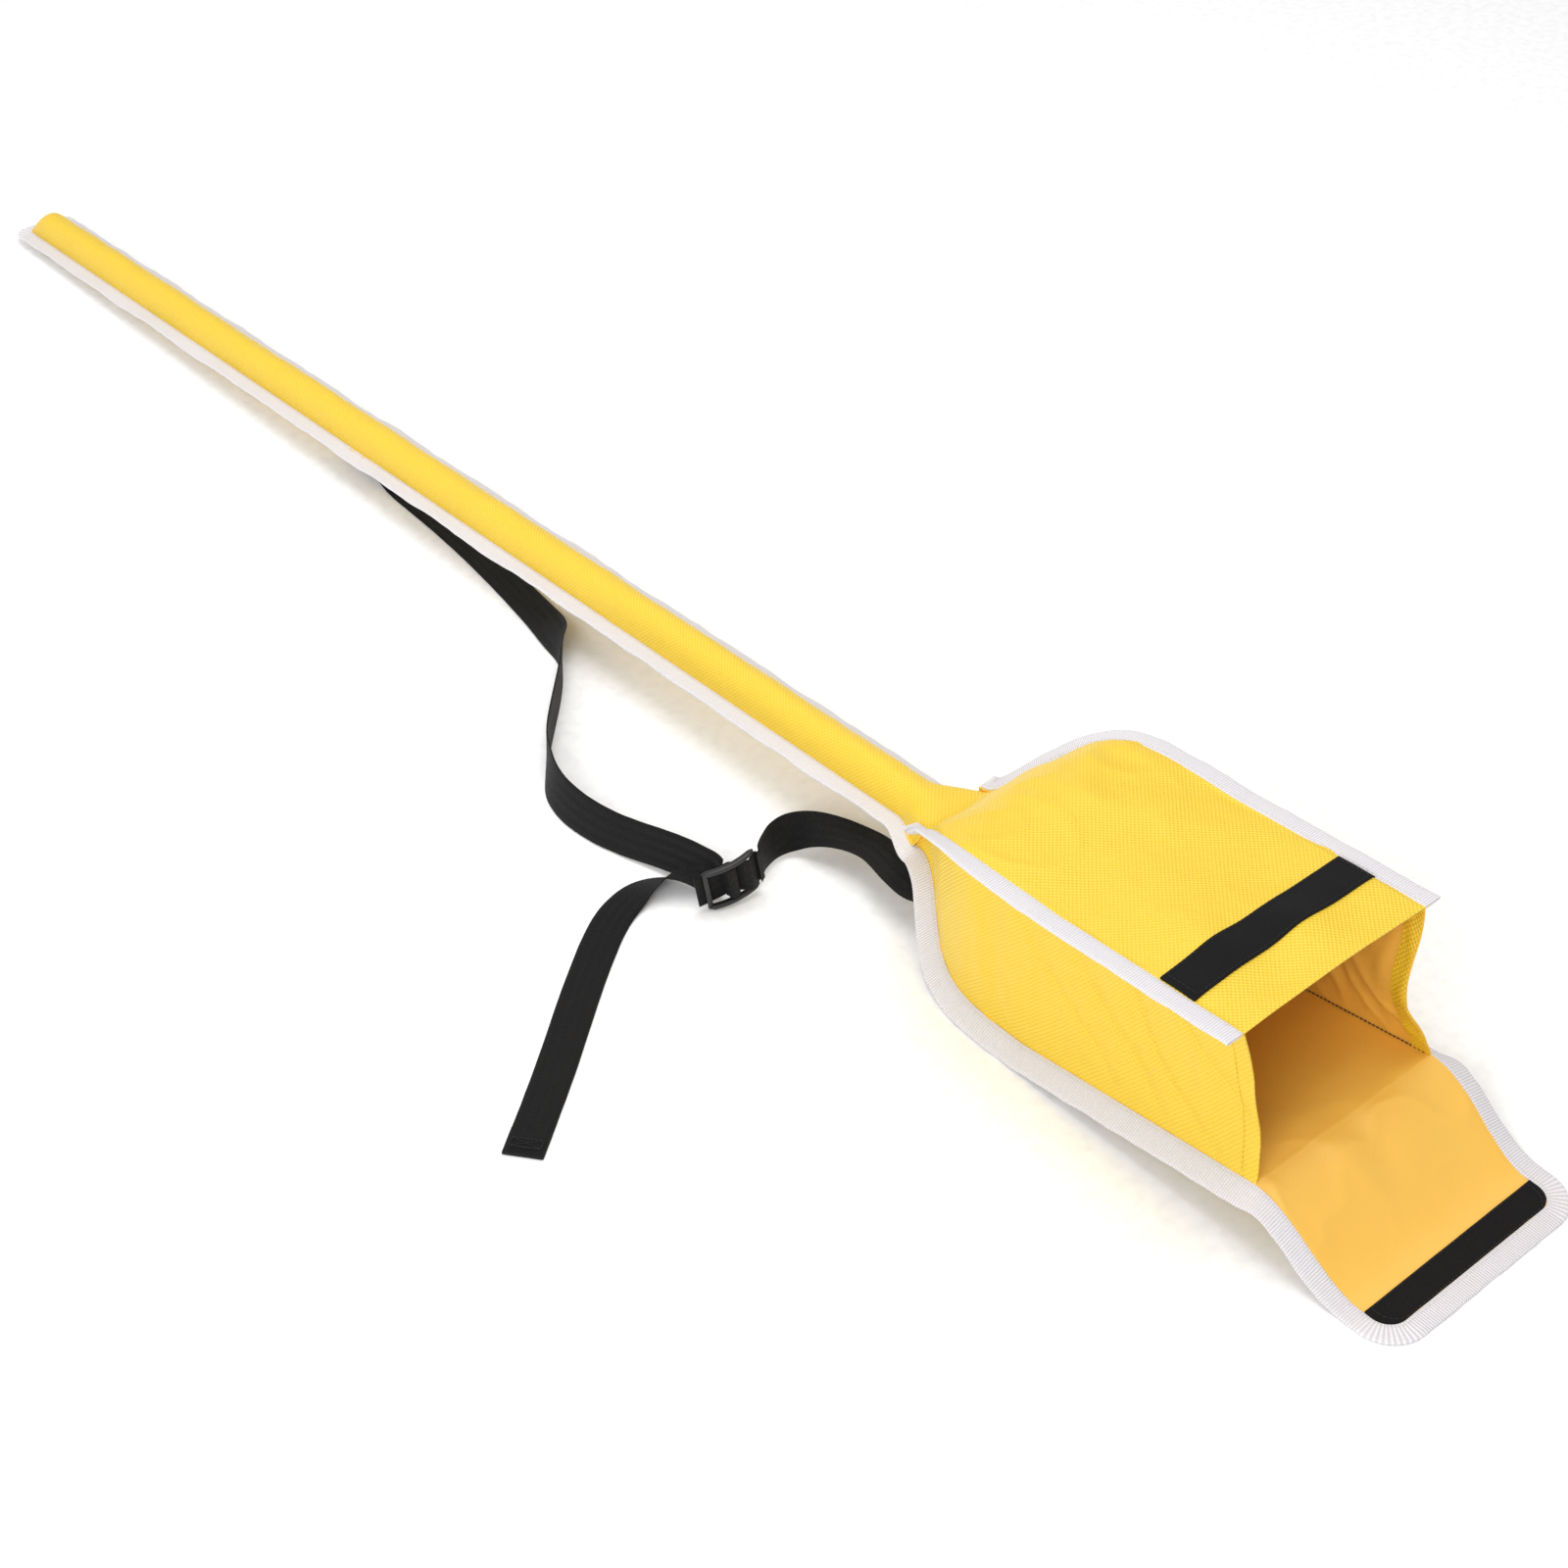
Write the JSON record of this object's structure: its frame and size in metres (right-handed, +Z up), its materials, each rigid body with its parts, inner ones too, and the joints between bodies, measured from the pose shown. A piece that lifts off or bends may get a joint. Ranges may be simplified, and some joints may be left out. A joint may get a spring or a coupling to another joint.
{
  "type": "pole carrying case",
  "caption": "Soft fabric carrying case for a pole with a folded head: a long slim sleeve, a box pouch with side gussets and a hook-and-loop flap, bound seams, and a carry strap.",
  "frame": {"origin": "on the surface that the case lies on, below the middle of its length and width, strap not counted", "axes": "+X from the sleeve's tip to the mouth and flap, +Y to the side away from the strap, +Z up from the back panel to the front panel"},
  "size_m": [1.636, 0.4416, 0.1356],
  "materials": {
    "coated_fabric": "coated plain weave, slight sheen",
    "binding": "ribbed tape, matte",
    "hook_and_loop": "pile and hooks, matte",
    "webbing": "woven, matte",
    "plastic": "moulded, satin"
  },
  "bodies": {
    "case": {"pouch_back": "coated_fabric", "sleeve_back": "coated_fabric", "sleeve_front": "coated_fabric", "front_shoulder": "coated_fabric", "gusset_near": "coated_fabric", "gusset_far": "coated_fabric", "gusset_near_shoulder": "coated_fabric", "gusset_far_shoulder": "coated_fabric", "binding_back_near": "binding", "binding_back_far": "binding", "binding_sleeve_near": "binding", "binding_sleeve_far": "binding", "binding_sleeve_tip": "binding", "binding_shoulder_near": "binding", "binding_shoulder_far": "binding", "strap_long": "webbing", "strap_short": "webbing", "strap_tail": "webbing"},
    "front": {"front_panel": "coated_fabric", "front_hem": "coated_fabric", "loop_strip": "hook_and_loop", "binding_front_near": "binding", "binding_front_far": "binding", "gusset_near_top": "coated_fabric", "gusset_far_top": "coated_fabric"},
    "flap_root": {"flap_lower": "coated_fabric", "binding_flap_near": "binding", "binding_flap_far": "binding"},
    "flap_tip": {"flap_end": "coated_fabric", "hook_strip": "hook_and_loop", "binding_flap_end": "binding"},
    "slider": {"slider": "plastic", "strap_in_slider": "webbing"}
  },
  "joints": [
    {"name": "mouth_press", "type": "hinge", "parent": "case", "child": "front", "pos_m": [0.5006, 0, 0.1262], "axis": [0, 1, 0], "range_deg": [0, 14]},
    {"name": "flap_fold", "type": "hinge", "parent": "case", "child": "flap_root", "pos_m": [0.706, 0, 0.0354], "axis": [0, -1, 0], "range_deg": [0, 118]},
    {"name": "flap_tip_fold", "type": "hinge", "parent": "flap_root", "child": "flap_tip", "pos_m": [0.756, 0, 0.0113], "axis": [0, -1, 0], "range_deg": [0, 60]},
    {"name": "slider_slide", "type": "slide", "parent": "case", "child": "slider", "axis": [0.189, 0.9721, 0.139], "range_m": [-0.005, 0.005]}
  ],
  "couplings": [
    {"joint": "mouth_press", "follows": "flap_fold", "ratio": 0.1186}
  ]
}
